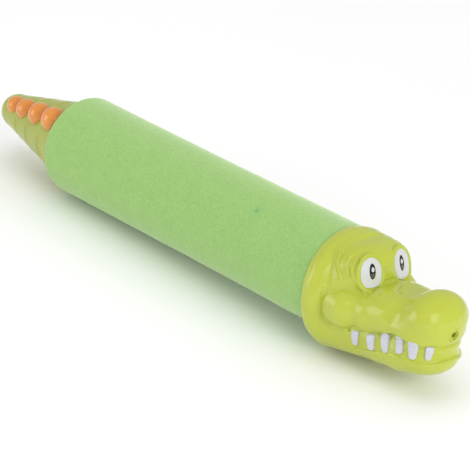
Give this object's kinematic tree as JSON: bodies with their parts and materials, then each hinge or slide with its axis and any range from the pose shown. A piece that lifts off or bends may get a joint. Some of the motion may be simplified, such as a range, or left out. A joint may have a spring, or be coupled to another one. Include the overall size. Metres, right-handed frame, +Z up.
{
  "type": "water squirter",
  "caption": "Hand-pumped foam water squirter with a reptile head as nozzle end and a sliding, turning tail as plunger handle.",
  "frame": {"origin": "on the barrel axis, halfway between the hood's rim and the barrel's rear end", "axes": "+X along the barrel out of the snout, +Z up through the top of the head, -Y the animal's right side"},
  "size_m": [0.3948, 0.071, 0.07],
  "materials": {
    "foam": "matte, fine closed cells",
    "head_lime": "glossy moulded",
    "eye_white": "glossy",
    "tooth_white": "glossy",
    "tail_olive": "satin moulded",
    "crest_orange": "glossy",
    "white_plastic": "satin",
    "black_rubber": "matte",
    "steel": "zinc plated"
  },
  "bodies": {
    "barrel": {"foam_sleeve": "foam", "barrel_tube": "white_plastic", "front_cap": "white_plastic", "front_gasket": "black_rubber", "nozzle_hose": "white_plastic", "nozzle_tip": "head_lime", "head_shell_right": "head_lime", "head_shell_left": "head_lime", "head_screws": "steel", "eye_right": "eye_white", "eye_left": "eye_white", "teeth_right": "tooth_white", "teeth_left": "tooth_white", "rear_cap": "white_plastic", "rod_wiper": "black_rubber"},
    "piston": {"piston": "white_plastic", "piston_o_rings": "black_rubber"},
    "plunger": {"swivel_screw": "steel", "swivel_washer": "black_rubber", "rod_plug": "white_plastic", "plunger_rod": "white_plastic", "stop_buffer": "black_rubber", "tail_shell_right": "tail_olive", "tail_shell_left": "tail_olive", "tail_crest": "crest_orange", "rod_pin": "steel", "tail_screws": "steel"}
  },
  "joints": [
    {"name": "plunger_slide", "type": "slide", "parent": "barrel", "child": "piston", "axis": [-1, 0, 0], "range_m": [0, 0.195]},
    {"name": "tail_spin", "type": "hinge", "parent": "piston", "child": "plunger", "pos_m": [-0.1, 0, 0], "axis": [1, 0, 0], "continuous": true}
  ]
}
